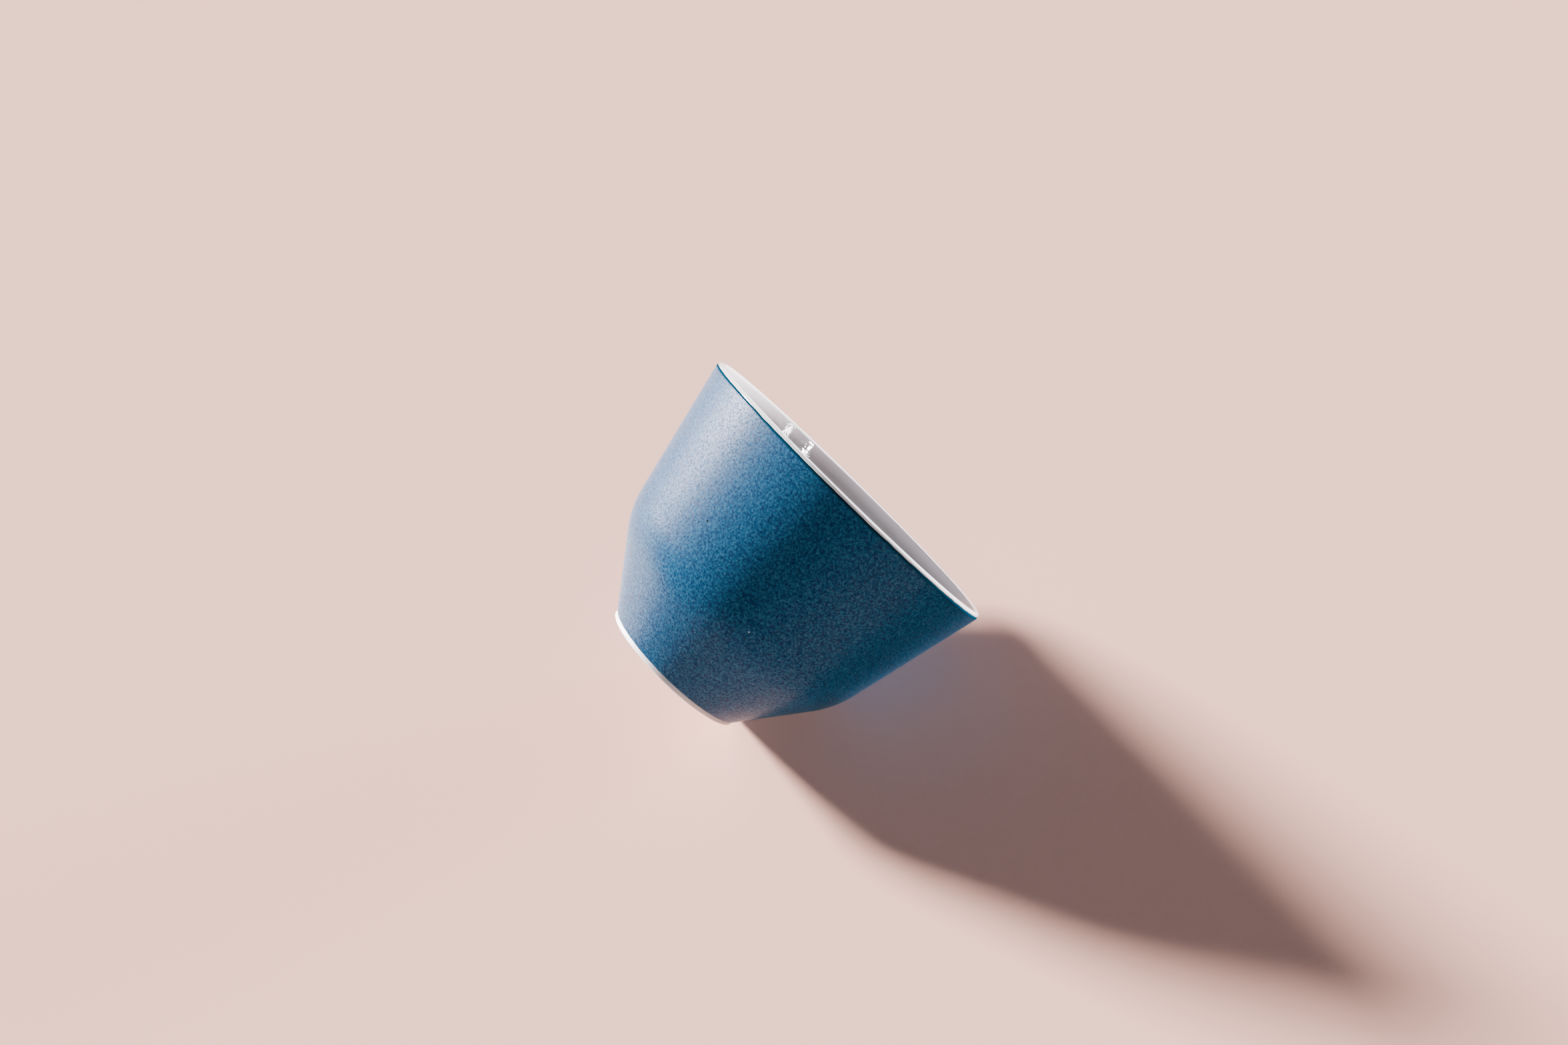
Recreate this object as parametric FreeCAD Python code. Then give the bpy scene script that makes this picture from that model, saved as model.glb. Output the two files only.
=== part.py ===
import FreeCAD, Part
import math
import os

# A handle-less porcelain cup, standing on its foot ring.
# Millimetres, +Z up, origin at the centre of the face that the foot ring rests on.
# The cup is one fired clay body under three coats of glaze: a blue coat outside, a clear liner inside that runs
# over the lip, and a clear coat in the recess under the floor. All of it is turned about the Z axis, so every
# outline below is made of (radius, height) points.

# ---- driving dimensions: the glazed cup ------------------------------------------------------------------------

height = 63.9                 # resting face to the crest of the lip
rim_diameter = 90.0           # widest part, at the rolled top edge of the blue coat
knee_diameter = 71.8          # sharp corner in which the two slopes of the outside would meet
knee_height = 22.45           # height of that corner
base_diameter = 40.95         # outside of the blue coat where it ends above the foot
knee_round = 25.9             # radius that softens the knee outside

lip_thickness = 1.8           # white part of the lip, fully rounded at the top
wall_thickness = 3.0          # at the knee, thinning from there to the lip
floor_thickness = 4.2         # at the middle of the floor
inner_knee_round = 24.0       # radius inside the knee
floor_round = 13.0            # radius where the wall runs into the floor

# ---- driving dimensions: the bare foot and the coats -----------------------------------------------------------

foot_band = 1.2               # bare clay from the resting face up to the blue coat
foot_inset = 0.25             # how far the bare foot stands in from the blue coat
foot_ring_width = 3.2         # bare ring under the cup, from the outside to the recess
foot_edge_round = 0.35        # worn edges of the foot ring
recess_depth = 1.4            # resting face to the glazed recess
recess_round = 0.8            # corner of the glazed recess, or less where its side is lower
recess_bare_edge = 0.4        # bare clay inside the recess, up from the resting face

blue_coat = 0.4               # thickness of the coat outside
clear_coat = 0.2              # thickness of the coats inside and in the recess
blue_edge_round = 0.2         # rolled edges of the blue coat
clear_edge_round = 0.1        # rolled edge of the coat in the recess


# ---- flat geometry ---------------------------------------------------------------------------------------------

def direction(start, end):
    """Unit vector from one point to another."""
    length = math.dist(start, end)
    return (end[0] - start[0]) / length, (end[1] - start[1]) / length


def moved_left(line, distance):
    """A line moved to the left of its own direction."""
    ur, uz = direction(*line)
    return tuple((r - uz * distance, z + ur * distance) for r, z in line)


def crossing(line_a, line_b):
    """The point where two lines meet, however short they are."""
    (a, b), (c, d) = line_a, line_b
    across = (b[0] - a[0]) * (d[1] - c[1]) - (b[1] - a[1]) * (d[0] - c[0])
    along = ((c[0] - a[0]) * (d[1] - c[1]) - (c[1] - a[1]) * (d[0] - c[0])) / across
    return a[0] + along * (b[0] - a[0]), a[1] + along * (b[1] - a[1])


def level(z):
    """A level line at a height."""
    return (0.0, z), (1.0, z)


def on_circle(centre, radius, angle):
    """A point of a circle; the angle is in radians from outwards, towards up."""
    return centre[0] + radius * math.cos(angle), centre[1] + radius * math.sin(angle)


def tangent_point(corner, centre, radius, side):
    """Where a line from a corner touches a circle, on its outer (+1) or its inner (-1) side."""
    towards = math.atan2(corner[1] - centre[1], corner[0] - centre[0])
    turn = math.acos(radius / math.dist(corner, centre))
    return on_circle(centre, radius, towards + side * turn)


# ---- edges and solids ------------------------------------------------------------------------------------------

def vector(point):
    return FreeCAD.Vector(point[0], 0.0, point[1])


def straight(start, end):
    return Part.LineSegment(vector(start), vector(end)).toShape()


def arc(start, middle, end):
    return Part.Arc(vector(start), vector(middle), vector(end)).toShape()


shortest_edge = 0.0001        # where two rounds meet, the straight between them is left out


def rounded_path(points, radii):
    """Edges through the points in order, each corner between the ends rounded by its radius."""
    edges = []
    start = points[0]
    for before, corner, after, radius in zip(points, points[1:], points[2:], radii):
        back = direction(corner, before)
        ahead = direction(corner, after)
        half_angle = 0.5 * math.acos(back[0] * ahead[0] + back[1] * ahead[1])
        reach = radius / math.tan(half_angle)
        depth = radius / math.sin(half_angle) - radius
        inward = direction((0.0, 0.0), (back[0] + ahead[0], back[1] + ahead[1]))
        first = (corner[0] + back[0] * reach, corner[1] + back[1] * reach)
        middle = (corner[0] + inward[0] * depth, corner[1] + inward[1] * depth)
        last = (corner[0] + ahead[0] * reach, corner[1] + ahead[1] * reach)
        if math.dist(start, first) > shortest_edge:
            edges.append(straight(start, first))
        edges.append(arc(first, middle, last))
        start = last
    if math.dist(start, points[-1]) > shortest_edge:
        edges.append(straight(start, points[-1]))
    return edges


def turned(edges):
    """The solid that a closed outline sweeps in a full turn about the Z axis."""
    face = Part.Face(Part.Wire(edges))
    solid = face.revolve(FreeCAD.Vector(0, 0, 0), FreeCAD.Vector(0, 0, 1), 360)
    if solid.Volume < 0:
        solid.reverse()
    return solid


# ---- slopes and corners shared by the clay and its coats --------------------------------------------------------

knee = (knee_diameter / 2, knee_height)
lip_level = height - lip_thickness / 2
blue_edge_centre = (rim_diameter / 2 - blue_edge_round, lip_level - blue_edge_round)
lower_slope = ((base_diameter / 2, foot_band), knee)
upper_slope = (knee, tangent_point(knee, blue_edge_centre, blue_edge_round, 1))
upper_lean = math.atan2(*direction(*upper_slope))

clay_lip_round = lip_thickness / 2 - clear_coat
lip_centre = crossing(moved_left(upper_slope, blue_coat + clay_lip_round), level(lip_level))
clay_lower_slope = moved_left(lower_slope, blue_coat)
clay_upper_slope = moved_left(upper_slope, blue_coat)

inner_knee = crossing(moved_left(lower_slope, wall_thickness), moved_left(upper_slope, wall_thickness))
inner_slope = (inner_knee, tangent_point(inner_knee, lip_centre, clay_lip_round + clear_coat, -1))

foot_radius = base_diameter / 2 - foot_inset
recess_radius = foot_radius - foot_ring_width
recess_corner = min(recess_round, recess_depth - recess_bare_edge - clear_edge_round)


def lip_point(coat, angle):
    """A point of the lip's round, on the clay or on a coat over it."""
    return on_circle(lip_centre, clay_lip_round + coat, angle)


widest, crest, shoulder = 0.0, math.pi / 2, -upper_lean

clay_outside = [
    crossing(clay_lower_slope, level(foot_band)),
    crossing(clay_lower_slope, clay_upper_slope),
    lip_point(0.0, shoulder),
]
clay_outside_radii = [knee_round - blue_coat]


def inside(depth):
    """Corners and radii at a depth under the white surface, from the lip's round down to the floor's middle."""
    upper = moved_left(inner_slope, -depth)
    lower = moved_left(lower_slope, wall_thickness - depth)
    floor = level(recess_depth + floor_thickness - depth)
    corners = [upper[1], crossing(upper, lower), crossing(lower, floor), floor[0]]
    return corners, [inner_knee_round + depth, floor_round + depth]


white_inside, white_inside_radii = inside(0.0)
clay_inside, clay_inside_radii = inside(clear_coat)

clay_recess = [
    (0.0, recess_depth + clear_coat),
    (recess_radius, recess_depth + clear_coat),
    (recess_radius, 0.0),
]


# ---- the pieces ------------------------------------------------------------------------------------------------

def porcelain_body():
    """Wall, floor and foot ring: the clay, turned in one piece."""
    foot = clay_recess + [(foot_radius, 0.0), (foot_radius, foot_band)]
    edges = rounded_path(foot, [recess_corner + clear_coat, foot_edge_round, foot_edge_round])
    edges += [straight(foot[-1], clay_outside[0])]
    edges += rounded_path(clay_outside, clay_outside_radii)
    edges += [arc(clay_outside[-1], lip_point(0.0, crest), clay_inside[0])]
    edges += rounded_path(clay_inside, clay_inside_radii)
    edges += [straight(clay_inside[-1], foot[0])]
    return turned(edges)


def outer_glaze():
    """The blue coat: from the top of the foot band to the widest part of the lip, both edges rolled."""
    top_corner = crossing(upper_slope, level(lip_level))
    skin = [clay_outside[0], lower_slope[0], knee, top_corner, lip_point(0.0, widest)]
    edges = rounded_path(skin, [blue_edge_round, knee_round, blue_edge_round])
    edges += [arc(skin[-1], lip_point(0.0, (widest + shoulder) / 2), clay_outside[-1])]
    edges += rounded_path(clay_outside[::-1], clay_outside_radii)
    return turned(edges)


def inner_glaze():
    """The clear liner: from the blue coat's top edge over the lip and down to the middle of the floor."""
    edges = [straight(lip_point(0.0, widest), lip_point(clear_coat, widest))]
    edges += [arc(lip_point(clear_coat, widest), lip_point(clear_coat, crest), white_inside[0])]
    edges += rounded_path(white_inside, white_inside_radii)
    edges += [straight(white_inside[-1], clay_inside[-1])]
    edges += rounded_path(clay_inside[::-1], clay_inside_radii[::-1])
    edges += [arc(clay_inside[0], lip_point(0.0, crest), lip_point(0.0, widest))]
    return turned(edges)


def base_glaze():
    """The clear coat in the recess: ceiling, corner and side, ending above the resting face."""
    coat_radius = recess_radius - clear_coat
    clay = [clay_recess[0], clay_recess[1], (recess_radius, recess_bare_edge)]
    coat = [clay[-1], (coat_radius, recess_bare_edge), (coat_radius, recess_depth), (0.0, recess_depth)]
    edges = rounded_path(clay, [recess_corner + clear_coat])
    edges += rounded_path(coat, [clear_edge_round, recess_corner])
    edges += [straight(coat[-1], clay[0])]
    return turned(edges)


pieces = {
    "porcelain_body": porcelain_body(),
    "outer_glaze": outer_glaze(),
    "inner_glaze": inner_glaze(),
    "base_glaze": base_glaze(),
}

os.makedirs("parts", exist_ok=True)
for name, shape in pieces.items():
    if not shape.isValid() or len(shape.Solids) != 1:
        raise ValueError(f"{name} is not one valid solid")
    shape.exportStep(f"parts/{name}.step")
    print(f"{name}: {shape.Volume:.1f} mm3")
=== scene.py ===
import math

import bpy
import numpy as np
from mathutils import Matrix, Vector


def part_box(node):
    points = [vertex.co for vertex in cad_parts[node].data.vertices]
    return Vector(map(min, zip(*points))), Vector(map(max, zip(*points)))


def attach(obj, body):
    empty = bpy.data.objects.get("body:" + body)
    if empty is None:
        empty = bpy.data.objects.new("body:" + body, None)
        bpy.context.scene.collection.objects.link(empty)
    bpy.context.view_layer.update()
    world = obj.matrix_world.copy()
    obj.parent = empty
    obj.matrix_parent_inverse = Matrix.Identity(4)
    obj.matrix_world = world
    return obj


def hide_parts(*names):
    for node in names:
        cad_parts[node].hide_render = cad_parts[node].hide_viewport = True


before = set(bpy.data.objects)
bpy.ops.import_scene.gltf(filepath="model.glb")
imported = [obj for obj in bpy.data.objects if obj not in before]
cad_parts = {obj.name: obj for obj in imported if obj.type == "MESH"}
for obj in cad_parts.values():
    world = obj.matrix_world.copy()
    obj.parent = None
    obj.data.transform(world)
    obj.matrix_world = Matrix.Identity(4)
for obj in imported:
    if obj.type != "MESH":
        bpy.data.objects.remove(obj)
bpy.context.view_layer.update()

# ---- Clay cup --------------------------------------------------------------------------------------
# One fired piece of fine white porcelain: wall, floor and foot ring, turned true while leather-hard
# and rubbed smooth under the foot after firing. Only the foot shows bare, because the coats of glaze
# cover the rest.

MM = 0.001
TURNS = 384
CLAY_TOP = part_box("porcelain_body")[1].z
FOOT_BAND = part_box("outer_glaze")[0].z
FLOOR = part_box("inner_glaze")[0].z
RECESS_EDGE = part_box("base_glaze")[0].z
RECESS_RADIUS, _, RECESS_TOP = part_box("base_glaze")[1]
RECESS_ROUND = 1.0 * MM
FOOT_RADIUS = 20.225 * MM
FOOT_EDGE_ROUND = 0.35 * MM
LEDGE_RADIUS = 19.98 * MM
LEDGE_ROUND = 0.08 * MM
KNEE = (35.528 * MM, 22.618 * MM)
KNEE_ROUND = 25.5 * MM
LIP_OUTSIDE = (44.798 * MM, CLAY_TOP)
LIP_INSIDE = (43.377 * MM, CLAY_TOP)
LIP_ROUND = 0.69 * MM
INNER_KNEE = (33.294 * MM, 23.626 * MM)
INNER_KNEE_ROUND = 24.2 * MM
FLOOR_CORNER = (20.064 * MM, FLOOR)
FLOOR_ROUND = 13.2 * MM
WALL_SPACING = 0.5 * MM
FOOT_SPACING = 0.3 * MM
ARC_STEPS_PER_RADIAN = 9
ON_AXIS = 0.001 * MM
CLAY_TONES = (0.30, 0.84, 0.82, 0.80), (0.72, 0.91, 0.895, 0.875)
CLAY_ROUGHNESS = 0.6
STAIN_SCALE = 170
GRAIN_SCALE = 2400
GRAIN_HEIGHT = 0.03 * MM


def heading(start, end):
    """Unit vector from one (radius, height) point to another."""
    step = np.subtract(end, start)
    return step / np.hypot(*step)


def rounded_line(corners, rounds, spacing):
    """Straight runs from corner to corner. Each inner corner is cut off by an arc of its round, which
    touches both runs at round / tan(half the corner's angle) from it. Points are about a spacing
    apart, or closer."""
    corners = np.asarray(corners, float)
    parts, here = [], corners[0]
    for before, corner, after, radius in zip(corners, corners[1:], corners[2:], rounds):
        back, ahead = heading(corner, before), heading(corner, after)
        half = math.acos(back @ ahead) / 2
        first = corner + back * radius / math.tan(half)
        last = corner + ahead * radius / math.tan(half)
        middle = corner + heading((0, 0), back + ahead) * radius / math.sin(half)
        start = math.atan2(*(first - middle)[::-1])
        turn = math.atan2(*(last - middle)[::-1]) - start
        turn = (turn + math.pi) % (2 * math.pi) - math.pi
        arc_steps = int(abs(turn) * max(radius / spacing, ARC_STEPS_PER_RADIAN))
        angle = np.linspace(start, start + turn, 3 + arc_steps)
        run_steps = int(np.hypot(*(first - here)) / spacing)
        parts.append(np.linspace(here, first, 2 + run_steps)[:-1])
        parts.append((middle + radius * np.stack([np.cos(angle), np.sin(angle)], 1))[:-1])
        here = last
    run_steps = int(np.hypot(*(corners[-1] - here)) / spacing)
    parts.append(np.linspace(here, corners[-1], 2 + run_steps))
    return np.vstack(parts)


def turned_mesh(name, outline):
    """A closed skin of revolution. Entry (i, j) of the outline is the (radius r, height h) of step j
    at the turn a = i / turns of a full circle, and becomes the point (r cos a, r sin a, h). An
    outline that begins and ends on the axis closes in one point at each end. Any other outline
    closes on itself."""
    turns = len(outline)
    poled = outline[0, 0, 0] < ON_AXIS
    rings = outline[:, 1:-1] if poled else outline
    steps = rings.shape[1]
    angle = np.linspace(0, 2 * np.pi, turns, endpoint=False)[:, None]
    radius, height = rings[..., 0], rings[..., 1]
    points = np.stack([radius * np.cos(angle), radius * np.sin(angle), height], -1).reshape(-1, 3)
    i, j = np.meshgrid(np.arange(turns), np.arange(steps - poled), indexing="ij")
    here, across, onward = i * steps, (i + 1) % turns * steps, (j + 1) % steps
    faces = np.stack([here + j, across + j, across + onward, here + onward], -1)
    faces = faces.reshape(-1, 4).tolist()
    if poled:
        poles = [[0, 0, outline[0, 0, 1]], [0, 0, outline[0, -1, 1]]]
        points = np.vstack([points, poles])
        first = np.arange(turns) * steps
        second = np.roll(first, -1)
        start, end = np.full(turns, turns * steps), np.full(turns, turns * steps + 1)
        faces += np.stack([start, second, first], -1).tolist()
        faces += np.stack([end, first + steps - 1, second + steps - 1], -1).tolist()
    mesh = bpy.data.meshes.new(name)
    mesh.from_pydata(points.tolist(), [], faces)
    mesh.polygons.foreach_set("use_smooth", np.ones(len(mesh.polygons), bool))
    piece = bpy.data.objects.new(name, mesh)
    bpy.context.collection.objects.link(piece)
    return piece


recess_line = rounded_line(
    [(0, RECESS_TOP), (RECESS_RADIUS, RECESS_TOP), (RECESS_RADIUS, RECESS_EDGE)],
    [RECESS_ROUND],
    WALL_SPACING,
)
foot_line = rounded_line(
    [
        (RECESS_RADIUS, RECESS_EDGE),
        (RECESS_RADIUS, 0),
        (FOOT_RADIUS, 0),
        (FOOT_RADIUS, FOOT_BAND),
        (LEDGE_RADIUS, FOOT_BAND),
    ],
    [FOOT_EDGE_ROUND, FOOT_EDGE_ROUND, LEDGE_ROUND],
    FOOT_SPACING,
)
wall_line = rounded_line(
    [
        (LEDGE_RADIUS, FOOT_BAND),
        KNEE,
        LIP_OUTSIDE,
        LIP_INSIDE,
        INNER_KNEE,
        FLOOR_CORNER,
        (0, FLOOR),
    ],
    [KNEE_ROUND, LIP_ROUND, LIP_ROUND, INNER_KNEE_ROUND, FLOOR_ROUND],
    WALL_SPACING,
)
clay_line = np.vstack([recess_line[:-1], foot_line[:-1], wall_line])
clay = turned_mesh("clay_cup", np.tile(clay_line, (TURNS, 1, 1)))
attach(clay, "root")
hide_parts("porcelain_body")


def new_material(name):
    """A material with its Principled shader, and two functions: add, which makes a node with its
    inputs and settings, and feed, which gives one of the shader's sockets a value or a link."""
    material = bpy.data.materials.new(name)
    material.use_nodes = True
    tree = material.node_tree
    shader = tree.nodes["Principled BSDF"]

    def fill(node, key, value):
        if isinstance(value, bpy.types.NodeSocket):
            tree.links.new(value, node.inputs[key])
        else:
            node.inputs[key].default_value = value

    def add(kind, inputs, **settings):
        node = tree.nodes.new("ShaderNode" + kind)
        for key, value in settings.items():
            setattr(node, key, value)
        for key, value in inputs.items():
            fill(node, key, value)
        return node

    def feed(socket, value):
        fill(shader, socket, value)

    return material, add, feed


def noise(add, place, **inputs):
    """A noise over the piece's own coordinates, from 0 to 1."""
    return add("TexNoise", {"Vector": place, **inputs}).outputs["Fac"]


def ramp(add, factor, *stops):
    """Colour ramp from (position, red, green, blue) stops, the first and last being its two ends."""
    node = add("ValToRGB", {"Fac": factor})
    ends = node.color_ramp.elements
    while len(ends) < len(stops):
        ends.new(0.5)
    for element, (position, *colour) in zip(ends, stops):
        element.position = position
        element.color = (*colour, 1)
    return node.outputs["Color"]


def let_light_in(feed):
    """Thin white porcelain lets a little light in, less than a millimetre deep, and red the most."""
    feed("Subsurface Weight", 0.15)
    feed("Subsurface Radius", (1.0, 0.9, 0.8))
    feed("Subsurface Scale", 0.8 * MM)


bare_porcelain, add, feed = new_material("bare_porcelain")
place = add("TexCoord", {}).outputs["Object"]
grain = noise(add, place, Scale=GRAIN_SCALE, Detail=4, Roughness=0.6)
stain = noise(add, place, Scale=STAIN_SCALE, Detail=4)
feed("Base Color", ramp(add, stain, *CLAY_TONES))
feed("Roughness", CLAY_ROUGHNESS)
let_light_in(feed)
bump = add("Bump", {"Height": grain, "Strength": 0.3, "Distance": GRAIN_HEIGHT})
feed("Normal", bump.outputs["Normal"])
clay.data.materials.append(bare_porcelain)

# ---- Blue coat -------------------------------------------------------------------------------------
# A satin blue glaze, sprayed thick on the outside only and fired with the clay. Fine dark and pale
# specks float in it. It ends in a rolled edge, wiped level above the foot, and a little wavy and
# smooth where it meets the liner at the lip. Along that edge a darker blue is painted in: painted
# shade, where the rolled edge turns away from the light.

BLUE_COAT = 0.4 * MM
BLUE_STEPS = 220
FOOT_GAP = 0.13 * MM
FOOT_ROLL = 0.3 * MM
FOOT_WAVE = 0.05 * MM
LIP_ROLL = 0.5 * MM
LIP_WAVE = 0.07 * MM
EDGE_BAND = 0.85 * MM
EDGE_SPAN = 0.1, 0.7
EDGE_SHADE_TONE = (0.000, 0.030, 0.060, 1)
CLOUD_SCALE = 1700
BLUE_TONES = (
    (0.385, 0.000, 0.020, 0.066),
    (0.500, 0.002, 0.058, 0.140),
    (0.615, 0.022, 0.112, 0.206),
)
FLECK_SCALE = 2000
FLECK_SPAN = 0.42, 0.60
FLECK_ROUGHNESS = 0.37, 0.31
FLECK_SHINE = 0.015, 0.13
EVEN_SHINE = 0.07
GRIT_SCALE = 4200
GRIT_HEIGHT = 0.025 * MM
IRON_SPECK = (-18.39 * MM, -34.59 * MM, 37.24 * MM), 0.36 * MM, (0.010, 0.006, 0.004, 1)
PINHOLE = (6.08 * MM, -36.05 * MM, 25.83 * MM), 0.20 * MM, (0.45, 0.55, 0.60, 1)


def waves(seed, low, high, count):
    """A seeded wave round the cup, one value per turn: a sum of cosines of whole-number frequencies
    between low and high, divided by its own greatest height."""
    draw = np.random.default_rng(seed)
    times, phase = draw.integers(low, high, count), draw.uniform(0, 2 * np.pi, count)
    turn = np.linspace(0, 2 * np.pi, TURNS, endpoint=False)[:, None]
    wave = np.cos(turn * times + phase).sum(1, keepdims=True)
    return wave / np.abs(wave).max()


def run_lengths(line):
    """Distance along a line from its start to each of its points."""
    return np.concatenate([[0], np.cumsum(np.hypot(*np.diff(line, axis=0).T))])


def coat_faces(line, start, end, steps, thickness, rolls):
    """The two faces of a coat over a line, from a start to an end distance along it, which may change
    with the turn. The under face is on the line. The skin is moved out along the line's normal by
    the thickness, which grows from nothing at a rolled end as a quarter ellipse, root of
    1 - (1 - distance / roll) squared. Gives the skin, the under face, and each point's distance
    along the line."""
    share = (1 - np.cos(np.linspace(0, np.pi, steps))) / 2
    reach = start + (end - start) * share
    lengths = run_lengths(line)
    along = np.gradient(line, lengths, axis=0)
    along /= np.hypot(*along.T)[:, None]
    under = np.stack([np.interp(reach, lengths, column) for column in line.T], -1)
    outward, upward = np.interp(reach, lengths, along[:, 1]), np.interp(reach, lengths, along[:, 0])
    normal = np.stack([outward, -upward], -1)
    full = np.ones_like(reach)
    for gap, roll in zip((reach - start, end - reach), rolls):
        if roll:
            full = np.minimum(full, np.sqrt(1 - (1 - np.clip(gap / roll, 0, 1)) ** 2))
    return under + normal * (thickness * full)[..., None], under, reach


wall_lengths = run_lengths(wall_line)
widest = wall_lengths[np.argmax(wall_line[:, 0])]
lip_edge = widest + LIP_WAVE * waves(3, 12, 90, 24)
foot_edge = FOOT_GAP + FOOT_WAVE * waves(5, 2, 40, 12)
skin, under, reach = coat_faces(
    wall_line, foot_edge, lip_edge, BLUE_STEPS, BLUE_COAT, (FOOT_ROLL, LIP_ROLL)
)
blue = turned_mesh("blue_coat", np.concatenate([skin, under[:, -2:0:-1]], 1))
near_edge = np.clip(1 - (lip_edge - reach) / EDGE_BAND, 0, 1)
near_edge = np.concatenate([near_edge, near_edge[:, -2:0:-1]], 1)
edge_values = blue.data.attributes.new("near_edge", "FLOAT", "POINT")
edge_values.data.foreach_set("value", near_edge.ravel())
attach(blue, "root")
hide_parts("outer_glaze")


def spread(add, value, span, ends=(0, 1), **settings):
    """A value stretched from its span to run between two ends, and held at the ends outside it."""
    inputs = {"Value": value, "From Min": span[0], "From Max": span[1]}
    inputs |= {"To Min": ends[0], "To Max": ends[1]}
    return add("MapRange", inputs, **settings).outputs["Result"]


def blend(add, factor, first, second):
    """A colour that goes from the first to the second as the factor goes from 0 to 1."""
    return add("Mix", {0: factor, 6: first, 7: second}, data_type="RGBA").outputs[2]


blue_glaze, add, feed = new_material("blue_glaze")
place = add("TexCoord", {}).outputs["Object"]
cloud = noise(add, place, Scale=CLOUD_SCALE, Detail=4, Roughness=0.78)
tone = ramp(add, cloud, *BLUE_TONES)
edge = add("Attribute", {}, attribute_name="near_edge").outputs["Fac"]
edge = spread(add, edge, EDGE_SPAN, interpolation_type="SMOOTHSTEP")
# Near the lip edge the tone turns to a darker blue: painted shade where the roll faces away from the
# light.
tone = blend(add, edge, tone, EDGE_SHADE_TONE)
for spot, size, colour in (IRON_SPECK, PINHOLE):
    away = add("VectorMath", {0: place, 1: spot}, operation="DISTANCE").outputs["Value"]
    inside = spread(add, away, (size, size / 2))
    tone = blend(add, inside, tone, colour)
    edge = add("Math", {0: edge, 1: inside}, operation="MAXIMUM").outputs["Value"]
feed("Base Color", tone)
flecks = noise(add, place, Scale=FLECK_SCALE, Detail=4, Roughness=0.78)
feed("Roughness", spread(add, flecks, FLECK_SPAN, FLECK_ROUGHNESS))
shine = spread(add, flecks, FLECK_SPAN, FLECK_SHINE)
# The even shine stays on the socket under the link, for a copy that can't hold the flecks' own shine.
feed("Specular IOR Level", EVEN_SHINE)
feed("Specular IOR Level", add("Mix", {0: edge, 2: shine, 3: 0.0}).outputs[0])
grit = noise(add, place, Scale=GRIT_SCALE, Detail=2)
strength = spread(add, edge, (0, 1), (1.0, 0.1))
bump = add("Bump", {"Height": grit, "Strength": strength, "Distance": GRIT_HEIGHT})
feed("Normal", bump.outputs["Normal"])
blue.data.materials.append(blue_glaze)

# ---- Clear liner -----------------------------------------------------------------------------------
# A thin clear gloss glaze over the white clay, poured into the cup and out again. It covers the
# inside, runs over the lip, and stops where the blue coat begins. It is white over the lip and a
# mottled grey inside the cup, and that grey is painted shade of the cup's hollow.

CLEAR_COAT = 0.2 * MM
CLEAR_ROLL = 0.15 * MM
LINER_STEPS = 240
LIP_SPAN = 60.5 * MM, 63.2 * MM
LIP_TONE = (0.92, 0.90, 0.91, 1)
INSIDE_SHADE_TONES = (0.3, 0.38, 0.368, 0.368), (0.7, 0.44, 0.428, 0.428)
INSIDE_MOTTLE_SCALE = 60
CLEAR_ROUGHNESS = 0.06
PEEL_SCALE = 420
PEEL_HEIGHT = 0.2 * MM

skin, under, _ = coat_faces(
    wall_line, lip_edge, wall_lengths[-1], LINER_STEPS, CLEAR_COAT, (CLEAR_ROLL, 0)
)
liner = turned_mesh("clear_liner", np.concatenate([under[:, :0:-1], skin], 1))
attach(liner, "root")
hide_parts("inner_glaze")

clear_glaze, add, feed = new_material("clear_glaze")
place = add("TexCoord", {}).outputs["Object"]
inside_mottle = noise(add, place, Scale=INSIDE_MOTTLE_SCALE, Detail=3)
height = add("SeparateXYZ", {"Vector": place}).outputs["Z"]
over_lip = spread(add, height, LIP_SPAN)
# White over the lip, grey deeper in: the grey is painted shade of the hollow, not the glaze's own
# colour.
feed("Base Color", blend(add, over_lip, ramp(add, inside_mottle, *INSIDE_SHADE_TONES), LIP_TONE))
feed("Roughness", CLEAR_ROUGHNESS)
let_light_in(feed)
peel = noise(add, place, Scale=PEEL_SCALE, Detail=2)
bump = add("Bump", {"Height": peel, "Strength": 0.5, "Distance": PEEL_HEIGHT})
feed("Normal", bump.outputs["Normal"])
liner.data.materials.append(clear_glaze)

# ---- Recess coat -----------------------------------------------------------------------------------
# The same clear glaze, dabbed into the shallow recess under the floor and wiped off the foot ring, so
# that the cup can stand in the kiln without sticking.

RECESS_STEPS = 90
RECESS_ROLL = 0.12 * MM
RECESS_WAVE = 0.05 * MM

recess_edge = run_lengths(recess_line)[-1] - RECESS_WAVE * (1 + waves(9, 2, 30, 10))
skin, under, _ = coat_faces(
    recess_line, 0, recess_edge, RECESS_STEPS, CLEAR_COAT, (0, RECESS_ROLL)
)
recess = turned_mesh("recess_coat", np.concatenate([skin, under[:, -2::-1]], 1))
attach(recess, "root")
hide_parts("base_glaze")
recess.data.materials.append(clear_glaze)

# ---- Floor -----------------------------------------------------------------------------------------
# A plain pale table top. The cup lies on its side on it, touching with its foot and its knee, so in
# the cup's own frame the table is tilted. It shows from the cup's side only, fades out into the
# backdrop, and casts no shadow, so that a lamp below it can give the gloss of a lit table.

TABLE_UP = Vector((-0.5188, -0.6294, 0.5785)).normalized()
TABLE_POINT = Vector((12.69, 15.40, 0.07)) * MM
TABLE_REACH = 1.6
TABLE_SIDES = 96
TABLE_TONE = (0.80, 0.46, 0.37, 1)
TABLE_ROUGHNESS = 0.9
FADE_SPAN = 0.9, 1.5

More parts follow.
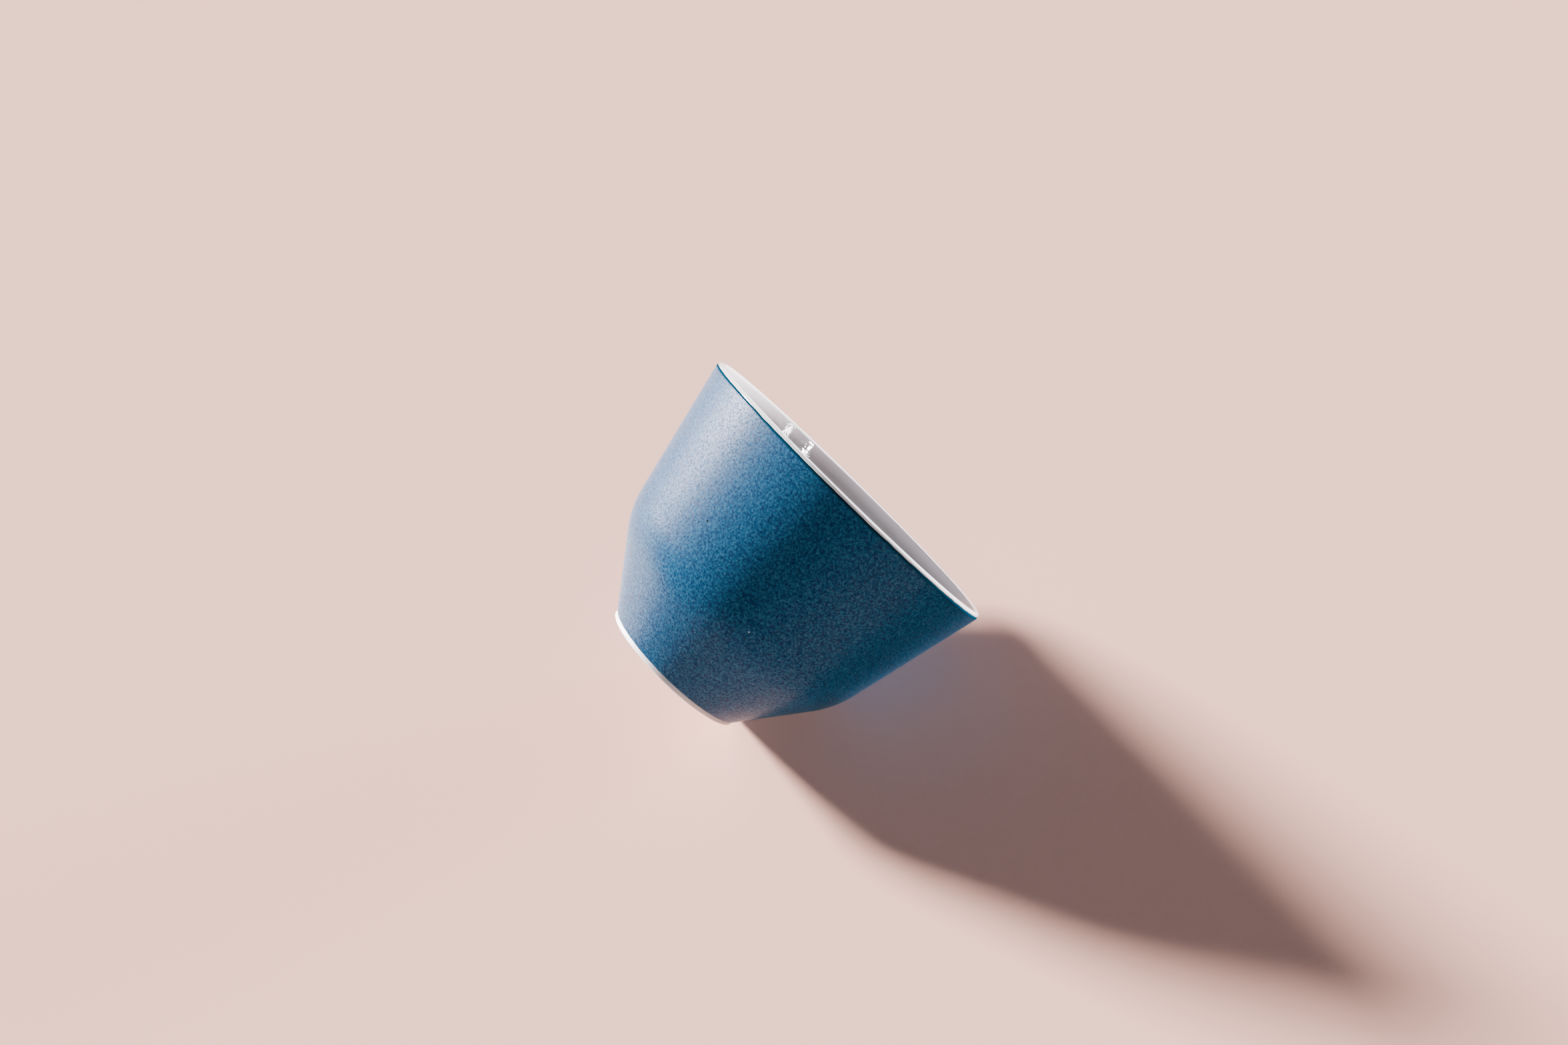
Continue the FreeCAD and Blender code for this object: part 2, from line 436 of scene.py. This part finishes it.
across = TABLE_UP.orthogonal().normalized()
along = TABLE_UP.cross(across)
angle = np.linspace(0, 2 * np.pi, TABLE_SIDES, endpoint=False)[:, None]
circle = np.cos(angle) * np.array(across) + np.sin(angle) * np.array(along)
ring = np.array(TABLE_POINT) + TABLE_REACH * circle
table_mesh = bpy.data.meshes.new("table")
table_mesh.from_pydata(ring.tolist(), [], [list(range(TABLE_SIDES))])
table = bpy.data.objects.new("table", table_mesh)
bpy.context.collection.objects.link(table)
table.visible_shadow = False

table_top, add, feed = new_material("table_top")
feed("Base Color", TABLE_TONE)
feed("Roughness", TABLE_ROUGHNESS)
feed("Specular IOR Level", 0.0)
place = add("TexCoord", {}).outputs["Object"]
away = add("VectorMath", {0: place, 1: tuple(TABLE_POINT)}, operation="DISTANCE").outputs["Value"]
fade = spread(add, away, FADE_SPAN)
behind = add("NewGeometry", {}).outputs["Backfacing"]
unseen = add("Math", {0: fade, 1: behind}, operation="MAXIMUM").outputs["Value"]
clear = add("BsdfTransparent", {}).outputs["BSDF"]
nodes, links = table_top.node_tree.nodes, table_top.node_tree.links
matt = nodes["Principled BSDF"].outputs["BSDF"]
mixed = add("MixShader", {0: unseen, 1: matt, 2: clear}).outputs["Shader"]
links.new(mixed, nodes["Material Output"].inputs["Surface"])
table_mesh.materials.append(table_top)

# ---- Light and camera ------------------------------------------------------------------------------
# A low window beside the cup, a soft skylight and a weak fill light the matt surfaces. The gloss has
# lamps of its own: the window again, the wall round it, the lit table, and two small lamps that glint
# inside the cup. Round them is a dim room, which the camera sees as a pale backdrop.

# Each lamp's name, way to it, strength, width in degrees, colour, and the kind of light it gives.
LAMPS = [
    ("window", (-0.9928, 0.0751, -0.0929), 21.0, 11, (1.0, 0.95, 0.92), "diffuse"),
    ("window_sheen", (-0.9928, 0.0751, -0.0929), 165.0, 8, (0.93, 0.86, 1.0), "glossy"),
    ("window_wall", (-0.84, 0.50, -0.38), 7.8, 40, (0.90, 0.90, 1.0), "glossy"),
    ("table_sheen", (-0.38, 0.78, -0.50), 46.0, 36, (0.92, 0.90, 1.0), "glossy"),
    ("skylight", (0.43, 0.42, 0.80), 24.0, 18, (0.95, 0.93, 1.0), "diffuse"),
    ("front_fill", (-0.15, -0.78, -0.60), 0.85, 60, (0.75, 0.90, 1.0), "diffuse"),
    ("far_lamp", (0.62, -0.67, 0.40), 1.1, 3.5, (1.0, 0.97, 0.92), "glossy"),
    ("side_lamp", (0.83, -0.40, 0.37), 0.60, 4.5, (1.0, 0.97, 0.92), "glossy"),
]
ROOM_TONE, ROOM_STRENGTH = (0.80, 0.80, 1.0, 1), 0.06
BACKDROP_TONE, BACKDROP_STRENGTH = (0.80, 0.74, 0.70, 1), 1.0
CAMERA_PLACE = Vector((-5.700, -379.125, 82.334)) * MM
CAMERA_TILT, CAMERA_ROLL = math.radians(84.506), math.radians(44.42)
LENS, SENSOR_WIDTH = 35, 36

for name, way, strength, width, colour, kind in LAMPS:
    lamp = bpy.data.lights.new(name, "SUN")
    lamp.energy = strength
    lamp.angle = math.radians(width)
    lamp.color = colour
    lamp_object = bpy.data.objects.new(name, lamp)
    lamp_object.rotation_euler = Vector(way).to_track_quat("Z", "Y").to_euler()
    lamp_object.visible_diffuse = kind == "diffuse"
    lamp_object.visible_glossy = kind == "glossy"
    bpy.context.collection.objects.link(lamp_object)

room = bpy.data.worlds.new("room")
room.use_nodes = True
bpy.context.scene.world = room
nodes, links = room.node_tree.nodes, room.node_tree.links
walls, backdrop = nodes["Background"], nodes.new("ShaderNodeBackground")
walls.inputs["Color"].default_value = ROOM_TONE
walls.inputs["Strength"].default_value = ROOM_STRENGTH
backdrop.inputs["Color"].default_value = BACKDROP_TONE
backdrop.inputs["Strength"].default_value = BACKDROP_STRENGTH
seen = nodes.new("ShaderNodeMixShader")
links.new(nodes.new("ShaderNodeLightPath").outputs["Is Camera Ray"], seen.inputs[0])
links.new(walls.outputs[0], seen.inputs[1])
links.new(backdrop.outputs[0], seen.inputs[2])
links.new(seen.outputs[0], nodes["World Output"].inputs["Surface"])

camera_lens = bpy.data.cameras.new("camera")
camera_lens.lens = LENS
camera_lens.sensor_width = SENSOR_WIDTH
camera = bpy.data.objects.new("camera", camera_lens)
camera.matrix_world = (
    Matrix.Translation(CAMERA_PLACE)
    @ Matrix.Rotation(CAMERA_TILT, 4, "X")
    @ Matrix.Rotation(CAMERA_ROLL, 4, "Z")
)
bpy.context.collection.objects.link(camera)
bpy.context.scene.camera = camera
